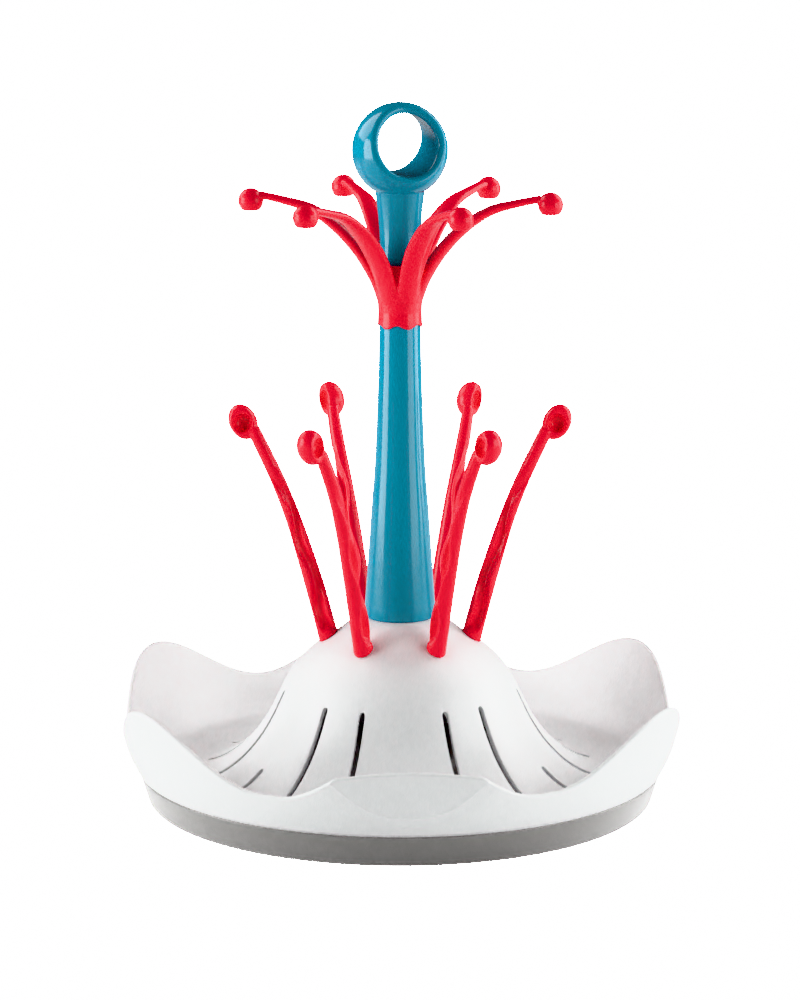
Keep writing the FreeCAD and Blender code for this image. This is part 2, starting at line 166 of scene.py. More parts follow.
# pegs
PEG_TURN = -2.0
PEGS = [("peg_left_front", 240.0, 1), ("peg_left_middle", 180.0, 1), ("peg_left_back", 120.0, 1),
        ("peg_right_front", 300.0, -1), ("peg_right_middle", 0.0, -1), ("peg_right_back", 60.0, -1)]
PEG_LINE = [(32.8, 71.2), (36.0, 84.6), (40.7, 102.6), (46.0, 120.6), (51.8, 138.8), (58.8, 156.8),
            (67.2, 174.6), (70.6, 181.5)]
PEG_HALF_WIDTH = [5.0, 4.9, 4.8, 4.4, 3.9, 3.6, 3.4, 3.2]
PEG_HALF_DEPTH = [4.6, 4.6, 4.6, 4.3, 4.0, 3.7, 3.4, 3.0]
EGG_CENTRE = (75.6, 184.8)
EGG_BACK_SHIFT = 3.6
EGG_LEAN = 25.0
EGG_HALF = (6.8, 9.0)
EGG_FACE = 4.0
RECESS = [(AXIS, -0.4), (2.0, -0.15), (3.3, 0.6), (4.2, 1.8), (4.7, 4.0), (5.0, 9.0), (AXIS, 9.0)]
PEG_SECTIONS = 150
PEG_AROUND = 96
PEG_FLOAT = 0.3
BEND_START = 0.72
CHANNEL_MIDDLE = 1.82  # radians round the section from its outward side
CHANNEL_SWING = 0.38
CHANNEL_WAVES = 3.3
CHANNEL_DEPTH = 0.80
CHANNEL_HALF_WIDTH = 0.74
CHANNEL_EDGE = 0.14


# ---------------------------------------------------------------- curves

def smooth_line(points, per_span=24):
    """Dense smooth line through the points, from a Catmull-Rom curve."""
    p = np.array(points, float)
    p = np.vstack([2 * p[0] - p[1], p, 2 * p[-1] - p[-2]])
    line = []
    for i in range(1, len(p) - 2):
        knots = [0.0]
        for a, b in ((i - 1, i), (i, i + 1), (i + 1, i + 2)):
            knots.append(knots[-1] + math.sqrt(np.linalg.norm(p[b] - p[a])))
        t0, t1, t2, t3 = knots
        t = np.linspace(t1, t2, per_span, endpoint=False)[:, None]
        a1 = (t1 - t) / (t1 - t0) * p[i - 1] + (t - t0) / (t1 - t0) * p[i]
        a2 = (t2 - t) / (t2 - t1) * p[i] + (t - t1) / (t2 - t1) * p[i + 1]
        a3 = (t3 - t) / (t3 - t2) * p[i + 1] + (t - t2) / (t3 - t2) * p[i + 2]
        b1 = (t2 - t) / (t2 - t0) * a1 + (t - t0) / (t2 - t0) * a2
        b2 = (t3 - t) / (t3 - t1) * a2 + (t - t1) / (t3 - t1) * a3
        line.append((t2 - t) / (t2 - t1) * b1 + (t - t1) / (t2 - t1) * b2)
    return np.vstack(line + [p[-2][None, :]])


def lengths(line):
    """Distance along a dense line at each of its points."""
    steps = np.linalg.norm(np.diff(line, axis=0), axis=1)
    return np.concatenate([[0.0], np.cumsum(steps)])


def resample(line, count):
    """The same line with evenly spaced points."""
    s = lengths(line)
    want = np.linspace(0, s[-1], count)
    return np.stack([np.interp(want, s, line[:, k]) for k in range(line.shape[1])], axis=1)


def rounded(corners, steps=5):
    """Outline with each corner (r, z, radius) turned into an arc of that radius; zero keeps it sharp."""
    pts = []
    count = len(corners)
    for i in range(count):
        r, z, radius = corners[i]
        here = np.array([r, z], float)
        if radius <= 0:
            pts.append(here)
            continue
        before = np.array(corners[i - 1][:2], float) - here
        after = np.array(corners[(i + 1) % count][:2], float) - here
        before /= np.linalg.norm(before)
        after /= np.linalg.norm(after)
        half = math.acos(max(-1.0, min(1.0, float(before @ after)))) / 2
        reach = radius / math.tan(half)
        centre = here + (before + after) / np.linalg.norm(before + after) * radius / math.sin(half)
        a = here + before * reach - centre
        b = here + after * reach - centre
        turn = math.acos(max(-1.0, min(1.0, float(a @ b) / radius ** 2)))
        for k in range(steps + 1):
            f = k / steps
            mix = (a * math.sin((1 - f) * turn) + b * math.sin(f * turn)) / math.sin(turn)
            pts.append(centre + mix)
    return np.array(pts)


def soft_min(a, b, k):
    """Smaller of two values, with the change from one to the other rounded over k."""
    h = np.clip(0.5 + 0.5 * (b - a) / k, 0, 1)
    return b * (1 - h) + a * h - k * h * (1 - h)


# ---------------------------------------------------------------- meshes

def make_object(name, points, faces, smooth_angle=35.0):
    """Mesh object in metres from points in millimetres, with its faces turned outwards."""
    mesh = bpy.data.meshes.new(name)
    mesh.from_pydata([tuple(p) for p in np.asarray(points) * MM], [], faces)
    mesh.validate()
    work = bmesh.new()
    work.from_mesh(mesh)
    loose = [v for v in work.verts if not v.link_faces]
    bmesh.ops.delete(work, geom=loose, context="VERTS")
    bmesh.ops.remove_doubles(work, verts=work.verts, dist=1e-6)
    bmesh.ops.recalc_face_normals(work, faces=work.faces)
    work.to_mesh(mesh)
    work.free()
    obj = bpy.data.objects.new(name, mesh)
    bpy.context.scene.collection.objects.link(obj)
    shade(obj, smooth_angle)
    return obj


def shade(obj, smooth_angle=35.0):
    """Smooth shading that keeps edges sharper than the angle."""
    mesh = obj.data
    mesh.shade_smooth()
    mesh.set_sharp_from_angle(angle=math.radians(smooth_angle))


def grid_faces(rows, columns, wrap_rows=False):
    """Four-sided faces between neighbouring rows of points; each row is a closed ring."""
    faces = []
    for i in range(rows if wrap_rows else rows - 1):
        nxt = (i + 1) % rows
        for j in range(columns):
            k = (j + 1) % columns
            faces.append((i * columns + j, i * columns + k, nxt * columns + k, nxt * columns + j))
    return faces


def lathe(outline, segments=192, axis="Z"):
    """Points and faces of a closed outline of (radius, height) turned about an axis."""
    outline = np.asarray(outline, float)
    angles = np.linspace(0, 2 * math.pi, segments, endpoint=False)
    r, h = outline[:, 0][:, None], outline[:, 1][:, None]
    across, along = r * np.cos(angles), r * np.sin(angles)
    up = np.broadcast_to(h, across.shape)
    if axis == "Z":
        points = np.stack([across, along, up], axis=2)
    else:
        points = np.stack([across, up, along], axis=2)
    return points.reshape(-1, 3), grid_faces(len(outline), segments, wrap_rows=True)


def tube(sections):
    """Points and faces of a run of closed sections with their ends filled."""
    sections = np.asarray(sections, float)
    rows, columns = sections.shape[:2]
    points = sections.reshape(-1, 3)
    first = sections[0].mean(axis=0)
    last = sections[-1].mean(axis=0)
    faces = grid_faces(rows, columns)
    points = np.vstack([points, first, last])
    a, b = rows * columns, rows * columns + 1
    for j in range(columns):
        k = (j + 1) % columns
        faces.append((a, k, j))
        faces.append((b, (rows - 1) * columns + j, (rows - 1) * columns + k))
    return points, faces


def joined(parts):
    """Several (points, faces) as one."""
    all_points, all_faces, start = [], [], 0
    for points, faces in parts:
        all_points.append(points)
        all_faces += [tuple(i + start for i in face) for face in faces]
        start += len(points)
    return np.vstack(all_points), all_faces


def turn_about_z(points, degrees):
    """Points turned about Z."""
    a = math.radians(degrees)
    c, s = math.cos(a), math.sin(a)
    return np.asarray(points) @ np.array([[c, s, 0], [-s, c, 0], [0, 0, 1]])


def settle(obj):
    """Applies the object's modifiers to its mesh."""
    bpy.context.view_layer.update()
    evaluated = obj.evaluated_get(bpy.context.evaluated_depsgraph_get())
    mesh = bpy.data.meshes.new_from_object(evaluated)
    obj.modifiers.clear()
    old = obj.data
    obj.data = mesh
    bpy.data.meshes.remove(old)
    return obj


def fused(obj, voxel, smoothing):
    """One skin over overlapping closed shapes, with the moulding's soft inner corners."""
    remesh = obj.modifiers.new("one_skin", "REMESH")
    remesh.mode = "VOXEL"
    remesh.voxel_size = voxel * MM
    settle(obj)
    soften = obj.modifiers.new("soften", "SMOOTH")
    soften.factor = 0.5
    soften.iterations = smoothing
    settle(obj)
    obj.data.shade_smooth()
    return obj


def carved(obj, cutter, operation="DIFFERENCE"):
    """Exact boolean of obj with a cutter, which is then removed."""
    tool = obj.modifiers.new("carve", "BOOLEAN")
    tool.operation = operation
    tool.solver = "EXACT"
    tool.object = cutter
    settle(obj)
    bpy.data.objects.remove(cutter)
    return obj


def rounded_edges(obj, width, angle, segments):
    """Rounds every edge that is sharper than the angle."""
    bevel = obj.modifiers.new("edges", "BEVEL")
    bevel.width = width * MM
    bevel.segments = segments
    bevel.limit_method = "ANGLE"
    bevel.angle_limit = math.radians(angle)
    bevel.use_clamp_overlap = True
    settle(obj)
    shade(obj, 50.0)
    return obj


# ---------------------------------------------------------------- materials

SLOW_NOISE = 14.0
FINE_NOISE = 900.0
GLOSS_SPREAD = 0.15
GRAIN_HEIGHT = 0.00005
COAT_ROUGHNESS = 0.25
# colour, roughness, variation of the colour, strength of the grain, coat
PLASTICS = {
    "tray_grey": ((0.172, 0.165, 0.160), 0.34, 0.03, 0.20, 0.7),
    "bowl_white": ((0.785, 0.80, 0.80), 0.38, 0.01, 0.12, 0.0),
    "blue_plastic": ((0.005, 0.245, 0.370), 0.12, 0.02, 0.04, 0.0),
    "red_plastic": ((0.86, 0.001, 0.028), 0.26, 0.02, 0.10, 0.0),
}


def plastic(name, colour, roughness, variation, grain, coat):
    """Moulded plastic: base colour with slow variation, fine grain in the gloss and the surface."""
    material = bpy.data.materials.new(name)
    material.use_nodes = True
    nodes, links = material.node_tree.nodes, material.node_tree.links
    shader = nodes["Principled BSDF"]
    place = nodes.new("ShaderNodeTexCoord")
    slow = nodes.new("ShaderNodeTexNoise")
    slow.inputs["Scale"].default_value = SLOW_NOISE
    slow.inputs["Detail"].default_value = 3.0
    fine = nodes.new("ShaderNodeTexNoise")
    fine.inputs["Scale"].default_value = FINE_NOISE
    fine.inputs["Detail"].default_value = 2.0
    links.new(place.outputs["Object"], slow.inputs["Vector"])
    links.new(place.outputs["Object"], fine.inputs["Vector"])
    tint = nodes.new("ShaderNodeMix")
    tint.data_type = "RGBA"
    tint.inputs["A"].default_value = (*[c * (1 - variation) for c in colour], 1)
    tint.inputs["B"].default_value = (*[min(1.0, c * (1 + variation)) for c in colour], 1)
    links.new(slow.outputs["Fac"], tint.inputs["Factor"])
    links.new(tint.outputs["Result"], shader.inputs["Base Color"])
    gloss = nodes.new("ShaderNodeMapRange")
    gloss.inputs["To Min"].default_value = roughness * (1 - GLOSS_SPREAD)
    gloss.inputs["To Max"].default_value = roughness * (1 + GLOSS_SPREAD)
    links.new(fine.outputs["Fac"], gloss.inputs["Value"])
    links.new(gloss.outputs["Result"], shader.inputs["Roughness"])
    bump = nodes.new("ShaderNodeBump")
    bump.inputs["Strength"].default_value = grain
    bump.inputs["Distance"].default_value = GRAIN_HEIGHT
    links.new(fine.outputs["Fac"], bump.inputs["Height"])
    links.new(bump.outputs["Normal"], shader.inputs["Normal"])
    shader.inputs["Coat Weight"].default_value = coat
    shader.inputs["Coat Roughness"].default_value = COAT_ROUGHNESS
    return material


def make_materials():
    """The four plastics; the tray also has a soft sheen, and the glossy colours reflect a little less."""
    materials = {name: plastic(name, *look) for name, look in PLASTICS.items()}
    tray = materials["tray_grey"].node_tree.nodes["Principled BSDF"]
    tray.inputs["Sheen Weight"].default_value = 1.0
    tray.inputs["Sheen Roughness"].default_value = 0.5
    for name in ("blue_plastic", "red_plastic"):
        shader = materials[name].node_tree.nodes["Principled BSDF"]
        shader.inputs["Specular IOR Level"].default_value = 0.35
    return materials


def finish_piece(obj, body, node, slot, materials):
    """Gives a piece its material, hangs it on its body empty and hides the CAD node it stands for."""
    obj.data.materials.clear()
    obj.data.materials.append(materials[slot])
    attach(obj, body)
    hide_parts(node)


# ---------------------------------------------------------------- drip tray

def build_tray():
    """Round tray with a shallow ring recess underneath."""
    recess_in, recess_out, recess_depth = TRAY_RECESS
    inner_foot = TRAY_BASE_RADIUS - TRAY_WALL
    inner_top = TRAY_TOP_RADIUS - TRAY_WALL
    outline = rounded([
        (AXIS, 0, 0), (recess_in, 0, TRAY_SOFT_EDGE),
        (recess_in + TRAY_SLOPE, recess_depth, TRAY_SOFT_EDGE),
        (recess_out - TRAY_SLOPE, recess_depth, TRAY_SOFT_EDGE), (recess_out, 0, TRAY_SOFT_EDGE),
        (TRAY_BASE_RADIUS - 0.5, 0, TRAY_OUTER_CORNER), (TRAY_TOP_RADIUS, TRAY_HEIGHT, 0.5),
        (inner_top, TRAY_HEIGHT, 0.4), (inner_foot, TRAY_FLOOR, TRAY_INNER_CORNER),
        (AXIS, TRAY_FLOOR, 0)])
    points, faces = lathe(outline, 256)
    return make_object("drip_tray_shell", points, faces)


# ---------------------------------------------------------------- drainer bowl

def rim_height(x, angle):
    """Top of the rim at an angle: the petal wave, trimmed by the facet's crowned edge."""
    off = np.abs((angle - FRONT + 180) % 360 - 180)
    valley = 180.0 / PETALS
    stretched = np.where(off < FRONT_VALLEY, off * valley / FRONT_VALLEY, np.maximum(off, valley))
    wave = RIM_MIDDLE + RIM_WAVE * np.cos(PETALS * np.radians(stretched))
    drop = FACET_CROWN_RADIUS - np.sqrt(FACET_CROWN_RADIUS ** 2 - np.minimum(np.abs(x), 70.0) ** 2)
    crown = np.where(off < valley, FACET_TOP - drop, 200.0)
    return soft_min(wave, crown, RIM_SOFT)


def bowl_columns():
    """Each column's angle, as a fixed part and a share of a slot's half angle, and each slot's first."""
    fixed, share, slots = [], [], []
    step = 360.0 / SLOTS
    for k in range(SLOTS):
        middle = FRONT - step + k * step
        slots.append(len(fixed))
        for t in SLOT_SPREAD:
            fixed.append(middle)
            share.append(t)
        gap = FAR_COLUMNS
        if k in GAPS_ACROSS_FACET:
            gap = FACET_COLUMNS
        elif k in (2, SLOTS - 1):
            gap = NEAR_COLUMNS
        for g in range(1, gap + 1):
            f = g / (gap + 1)
            fixed.append(middle + step * f)
            share.append(1 - 2 * f)
    return np.array(fixed), np.array(share), slots


def build_bowl():
    """Petal bowl in one closed skin: pin, dome, floor, wall, nesting ring, underside and slots."""
    fixed, share, slots = bowl_columns()
    columns = len(fixed)
    bend = np.sqrt(1 - np.array(SLOT_SPREAD) ** 2)
    dome = smooth_line(DOME)
    s = lengths(dome)
    way = np.gradient(dome, s, axis=0)
    way /= np.linalg.norm(way, axis=1)[:, None]

    def s_at(radius):
        return float(np.interp(radius, dome[:, 0], s))

    marks = [s_at(LONG_SLOT_START), s_at(SHORT_SLOT_START), s_at(SLOT_END)]
    above, between, along, beyond = SKIN_ROWS
    runs = [np.linspace(0, marks[0] - LONG_SLOT_MARGIN, above),
            np.linspace(marks[0], marks[1] - SLOT_MARGIN, between),
            np.linspace(marks[1], marks[2], along),
            np.linspace(marks[2] + SLOT_MARGIN, s[-1], beyond)]
    stations = np.concatenate(runs)
    long_row = len(runs[0])
    short_row = long_row + len(runs[1])
    end_row = short_row + len(runs[2]) - 1

    # every third slot is a short one
    starts = [short_row if k % 3 == 1 else long_row for k in range(SLOTS)]
    station = np.repeat(stations[:, None], columns, axis=1)
    for start, first in zip(starts, slots):
        station[start, first:first + len(SLOT_SPREAD)] -= bend * SLOT_WIDTH * SLOT_START_BOW
        station[end_row, first:first + len(SLOT_SPREAD)] += bend * SLOT_WIDTH * SLOT_END_BOW

    def skin_at(stations_2d, depth):
        r = np.interp(stations_2d, s, dome[:, 0])
        z = np.interp(stations_2d, s, dome[:, 1])
        wr = np.interp(stations_2d, s, way[:, 0])
        wz = np.interp(stations_2d, s, way[:, 1])
        size = np.hypot(wr, wz)
        return r + wz / size * depth, z - wr / size * depth

    def placed(r, z):
        half = np.degrees(np.arcsin(SLOT_WIDTH / 2 / np.maximum(r, SLOT_MIN_RADIUS)))
        angle = np.radians(fixed + share * half)
        return np.stack([r * np.cos(angle), r * np.sin(angle), np.broadcast_to(z, r.shape)], axis=-1)

    def ring(r, z):
        return placed(np.full(columns, float(r)), np.full(columns, float(z)))

    rows = [ring(BOWL_AXIS, PIN_TOP)]
    pin = rounded([(BOWL_AXIS, PIN_TOP, 0), (PIN_TOP_RADIUS, PIN_TOP, 1.2),
                   (PIN_FOOT_RADIUS, DOME[0][1], 0.4), (*DOME[0], 0)])
    rows += [ring(r, z) for r, z in pin[1:-1]]
    upper_r, upper_z = skin_at(station, 0.0)
    upper_start = len(rows)
    rows += [placed(upper_r[i], upper_z[i]) for i in range(len(stations))]

    # the wall, whose top follows the rim and whose front is trimmed flat by the facet
    degrees = fixed + share * np.degrees(math.asin(SLOT_WIDTH / 2 / FACET_FRONT))
    from_front = np.abs((degrees - FRONT + 180) % 360 - 180)
    sine = np.maximum(np.cos(np.radians(np.minimum(from_front, TRIM_LIMIT))), 0.1)
    outer_line = smooth_line(WALL_OUTER)
    inner_line = smooth_line(WALL_INNER)

    def outer_at(z):
        r = np.interp(z, outer_line[:, 1], outer_line[:, 0])
        cut = r - FACET_FRONT / sine
        share_in = np.clip(1 + cut / np.where(cut < 0, FACET_FADE, -FACET_STEP_WIDTH), 0, 1)
        step_in = FACET_STEP * share_in * share_in * (3 - 2 * share_in)
        trimmed = soft_min(r, FACET_FRONT / sine, FACET_SOFT) - step_in
        return np.where(from_front < FACET_REACH, trimmed, r)

    def inner_at(z):
        r = np.interp(z, inner_line[:, 1], inner_line[:, 0])
        trimmed = soft_min(r, (FACET_FRONT - SKIN) / sine, FACET_SOFT_INSIDE)
        return np.where(from_front < FACET_REACH, trimmed, r)

    x = FACET_FRONT / sine * np.sin(np.radians(np.minimum(from_front, TRIM_LIMIT)))
    round_top = SKIN / 2
    top = rim_height(x, degrees) - round_top
    low = DOME[-1][1]
    for u in np.linspace(0, 1, WALL_ROWS_INSIDE)[1:]:
        z = low + (top - low) * u
        rows.append(placed(inner_at(z), z))
    ri, ro = inner_at(top), outer_at(top)
    for a in np.radians([150, 120, 90, 60, 30]):
        rows.append(placed((ri + ro) / 2 + (ro - ri) / 2 * math.cos(a), top + round_top * math.sin(a)))
    foot = WALL_FOOT + 0.6
    for u in np.linspace(0, 1, WALL_ROWS_OUTSIDE):
        z = top + (foot - top) * u
        rows.append(placed(outer_at(z), z))
    rows += [ring(r, z) for r, z in NEST]

    lower_r, lower_z = skin_at(station, SKIN)
    keep = [i for i in range(len(stations)) if stations[i] <= s_at(UNDERSIDE_END)]
    lower_of = {}
    for i in reversed(keep):
        lower_of[i] = len(rows)
        rows.append(placed(lower_r[i], lower_z[i]))
    rows += [ring(r, z) for r, z in PIN_INSIDE]

    open_cells, walls = slot_openings(slots, starts, end_row, upper_start, lower_of, columns)
    faces = []
    for i in range(len(rows) - 1):
        for j in range(columns):
            if (i, j) in open_cells:
                continue
            k = (j + 1) % columns
            faces.append((i * columns + j, i * columns + k, (i + 1) * columns + k, (i + 1) * columns + j))
    faces += walls
    faces.append(tuple(range(columns)))
    last = (len(rows) - 1) * columns
    faces.append(tuple(last + j for j in reversed(range(columns))))
    return make_object("drainer_bowl_shell", np.concatenate(rows), faces, 40.0)


def slot_openings(slots, starts, end, upper_start, lower_of, columns):
    """Cells left open by the slots in both faces of the skin, and the walls that line the slots."""
    open_cells, walls = set(), []
    for first, start in zip(slots, starts):
        cols = list(range(first, first + len(SLOT_SPREAD)))
        for i in range(start, end):
            for j in cols[:-1]:
                open_cells.add((upper_start + i, j))
                open_cells.add((lower_of[i + 1], j))
        loop = [(start, j) for j in cols] + [(i, cols[-1]) for i in range(start + 1, end + 1)]
        loop += [(end, j) for j in reversed(cols[:-1])]
        loop += [(i, cols[0]) for i in range(end - 1, start, -1)]
        for a, b in zip(loop, loop[1:] + loop[:1]):
            upper_a, upper_b = [(upper_start + row) * columns + column for row, column in (a, b)]
            lower_a, lower_b = [lower_of[row] * columns + column for row, column in (a, b)]
            walls.append((upper_a, upper_b, lower_b, lower_a))
    return open_cells, walls


def rod_outline(top, bottom, radius, edge=0.4):
    """Closed outline of a round rod with softened ends."""
    return rounded([(AXIS, bottom, 0), (radius, bottom, edge), (radius, top, edge), (AXIS, top, 0)])


def along_socket(points):
    """Moves points drawn about +Z so that their zero lies at the top of a socket, on its axis."""
    lean = math.radians(PEG_LEAN)
    c, s = math.cos(lean), math.sin(lean)
    turned = np.asarray(points) @ np.array([[c, 0, -s], [0, 1, 0], [s, 0, c]])
    return turned + np.array([PEG_SPIGOT_TOP[0], 0, PEG_SPIGOT_TOP[1]])


def build_sockets(bowl):
    """Cuts the six peg holes in the dome and hangs a closed tube under each."""
    bore = PEG_SPIGOT_RADIUS + SOCKET_CLEARANCE
    cutters, cups = [], []
    for _, angle, _ in PEGS:
        points, faces = lathe(rod_outline(6.0, -9.0, bore, 0.0), 48)
        cutters.append((turn_about_z(along_socket(points), angle + PEG_TURN), faces))
        outside, foot = bore + SOCKET_WALL, -SOCKET_DEPTH - SOCKET_WALL
        outline = [(AXIS, -SOCKET_DEPTH), (bore, -SOCKET_DEPTH), (bore, SOCKET_MOUTH),
                   (outside, SOCKET_MOUTH), (outside, foot), (AXIS, foot)]
        points, faces = lathe(outline, 48)
        cups.append((turn_about_z(along_socket(points), angle + PEG_TURN), faces))
    carved(bowl, make_object("cutter", *joined(cutters)))
    return make_object("drainer_bowl_sockets", *joined(cups))


# ---------------------------------------------------------------- trunk

def build_trunk():
    """Hollow tapered post."""
    side = resample(smooth_line(TRUNK), 90)
    inside = side[::-1].copy()
    inside[:, 0] -= TRUNK_WALL
    outline = np.vstack([side, inside])
    points, faces = lathe(outline, 128)
    obj = make_object("trunk_post", points, faces, 40.0)
    return rounded_edges(obj, 0.7, 50.0, 3)


# ---------------------------------------------------------------- sections along a line

def frames_along(pairs, count):
    """Evenly spaced places along a smooth line, with the direction and the outward side at each."""
    line = resample(smooth_line(pairs), count)
    way = np.gradient(line, axis=0)
    way /= np.linalg.norm(way, axis=1)[:, None]
    place = np.stack([line[:, 0], np.zeros(count), line[:, 1]], axis=1)
    outward = np.stack([way[:, 1], np.zeros(count), -way[:, 0]], axis=1)
    return place, outward


def blend_list(values, shares):
    """Values at shares of the way along an evenly spaced list."""
    return np.interp(shares, np.linspace(0, 1, len(values)), values)


def groove(angles, middle, half_width, soft):
    """Share from 0 to 1 of a groove pressed into a section, by the angle round it."""
    away = np.abs((angles - middle + math.pi) % (2 * math.pi) - math.pi)
    t = np.clip((half_width + soft / 2 - away) / soft, 0, 1)
    return t * t * (3 - 2 * t)


# ---------------------------------------------------------------- crown

def branch_shape(side):
    """One branch and its berry, pointing along +X; side says where its groove is."""
    count, around = 90, 48
    place, outward = frames_along(BRANCH_LINE, count)
    shares = np.linspace(0, 1, count)
    width = blend_list(BRANCH_HALF_WIDTH, shares)
    thick = blend_list(BRANCH_HALF_THICKNESS, shares)
    angles = np.linspace(0, 2 * math.pi, around, endpoint=False)
    sections = []
    for i in range(count):
        press = np.clip((shares[i] - 0.22) / 0.15, 0, 1) * np.clip((0.86 - shares[i]) / 0.12, 0, 1)
        middle = math.radians(90 - BRANCH_GROOVE_SIDE * side)
        dent = 1 - BRANCH_GROOVE_DEPTH * press * groove(angles, middle, 0.26, 0.35)
        across = np.cos(angles) * width[i] * dent
        out = np.sin(angles) * thick[i] * dent
        section = place[i] + across[:, None] * np.array([0, 1, 0]) + out[:, None] * outward[i]
        sections.append(section)
    arm = tube(sections)
    cut = -BERRY_CUT
    profile = [(0.02, cut + 0.35), (0.30, cut + 0.25), (0.50, cut), (0.62, cut)]
    for a in np.linspace(math.asin(cut) + 0.06, math.pi / 2, 30):
        profile.append((max(math.cos(a), 0.02), math.sin(a)))
    points, faces = lathe(np.array(profile) * BERRY_RADIUS, 64)
    points = points + np.array([BERRY_CENTRE[0], 0, BERRY_CENTRE[1]])
    return joined([arm, (points, faces)])


def build_crown():
    """Collar, cup, tenon and wavy skirt with the six branches, fused into one moulding."""
    core = rounded([
        (TENON_BORE, TENON_BOTTOM, 0.4), (TENON_RADIUS, TENON_BOTTOM, 0.4), (TENON_RADIUS, TRUNK_TOP, 0),
        (SKIRT_BORE, TRUNK_TOP, 0), (SKIRT_BORE, SKIRT_MIDDLE, 0), (SKIRT_RADIUS, SKIRT_MIDDLE, 0.3),
        *COLLAR, (CUP_RADIUS, CUP_TOP, 0.6), (CUP_BORE, CUP_TOP, 0.6), (CUP_BORE, CUP_FLOOR, 0.4),
        (TENON_BORE, CUP_FLOOR, 0.4)])
    points, faces = lathe(core, 144)
    low = points[:, 2] < SKIRT_MIDDLE + 0.7
    skirt = low & (np.hypot(points[:, 0], points[:, 1]) > SKIRT_BORE - 0.3)
    angle = np.degrees(np.arctan2(points[:, 1], points[:, 0]))
    first = FRONT + 180.0 / BRANCHES + CROWN_TURN
    points[skirt, 2] -= SKIRT_WAVE * np.cos(BRANCHES * np.radians(angle[skirt] - first))
    parts = [(points, faces)]
    for index in range(BRANCHES):
        turn = first + index * 360.0 / BRANCHES
        side = 1 if math.cos(math.radians(turn)) > 0 else -1
        arm_points, arm_faces = branch_shape(side)
        parts.append((turn_about_z(arm_points, turn), arm_faces))
    crown = make_object("branch_crown_moulding", *joined(parts))
    crown = fused(crown, CROWN_VOXEL, 6)
    bore = make_object("cutter", *lathe(rod_outline(BORE_TOP, CUP_FLOOR, CUP_BORE, 0.0), 96))
    return carved(crown, bore)


# ---------------------------------------------------------------- handle

def ball_sections():
    """Closed outlines of the ball and its finger hole, in planes that turn about the hole's axis."""
    offset = FINGER_HEIGHT - BALL_HEIGHT
    f = FINGER_ROUNDING
    sections = []
    for turn in np.linspace(0, 2 * math.pi, 180, endpoint=False):
        centre = -offset * math.sin(turn)
        radius = math.sqrt(BALL_RADIUS ** 2 - (offset * math.cos(turn)) ** 2)
        rim = math.sqrt((radius - f) ** 2 - (FINGER_RADIUS + f - centre) ** 2)
        meet = math.atan2(rim, FINGER_RADIUS + f - centre)
        pairs = [(centre + radius * math.cos(a), radius * math.sin(a))
                 for a in np.linspace(-meet, meet, 64)]
        corner = [(FINGER_RADIUS + f + f * math.cos(a), rim + f * math.sin(a))
                  for a in np.linspace(meet, math.pi, 10)[1:]]
        pairs += corner
        pairs += [(FINGER_RADIUS, y) for y in np.linspace(rim, -rim, 12)[1:-1]]
        pairs += [(rho, -y) for rho, y in reversed(corner)]
        sections.append([(rho * math.cos(turn), y, FINGER_HEIGHT + rho * math.sin(turn))
                         for rho, y in pairs])
    return np.array(sections)


def build_handle():
    """Ball with its finger hole on the tapered stem, and the spigot below."""
    sections = ball_sections()
    rows, columns = sections.shape[:2]
    ball = make_object("handle_grip", sections.reshape(-1, 3), grid_faces(rows, columns, wrap_rows=True))
    side = resample(smooth_line(STEM), 60)
    stem = np.vstack([[(AXIS, SPIGOT_BOTTOM), (SPIGOT_RADIUS - 0.3, SPIGOT_BOTTOM),
                       (SPIGOT_RADIUS, SPIGOT_BOTTOM + 0.4), (SPIGOT_RADIUS, STEM[0][1])],
                      side, [(AXIS, side[-1][1])]])
    carved(ball, make_object("cutter", *lathe(stem, 128), 60.0), "UNION")
    ball.data.transform(Matrix.Rotation(math.radians(HANDLE_TURN), 4, "Z"))
    shade(ball, 40.0)
    return ball


# ---------------------------------------------------------------- pegs

def dome_height(radius):
    """Height of the dome's upper face at a radius."""
    line = smooth_line(DOME)
    return np.interp(radius, line[:, 0], line[:, 1])


def shaft_shape():
    """Leaning shaft with a winding channel open towards +Y, its foot trimmed to the dome."""
    place, outward = frames_along(PEG_LINE, PEG_SECTIONS)
    shares = np.linspace(0, 1, PEG_SECTIONS)
    width = blend_list(PEG_HALF_WIDTH, shares)
    deep = blend_list(PEG_HALF_DEPTH, shares)
    angles = np.linspace(0, 2 * math.pi, PEG_AROUND, endpoint=False)
    sections = []
    for i in range(PEG_SECTIONS):
        u = shares[i]
        bend = max(0.0, (u - BEND_START) / (1 - BEND_START))
        drift = -EGG_BACK_SHIFT * 0.5 * bend ** 2
        winding = CHANNEL_SWING * math.sin(2 * math.pi * (u * CHANNEL_WAVES + 0.1))
        press = np.clip((u - 0.10) / 0.035, 0, 1) * np.clip((0.84 - u) / 0.20, 0, 1)
        channel = groove(angles, CHANNEL_MIDDLE + winding, CHANNEL_HALF_WIDTH, CHANNEL_EDGE)
        dent = 1 - CHANNEL_DEPTH * press * channel
        out = np.cos(angles) * width[i] * dent
        across = np.sin(angles) * deep[i] * dent + drift
        section = place[i] + out[:, None] * outward[i] + across[:, None] * np.array([0, 1, 0])
        floor = dome_height(np.hypot(section[:, 0], section[:, 1])) + PEG_FLOAT
        section[:, 2] = np.maximum(section[:, 2], floor)
        sections.append(section)
    return tube(sections)


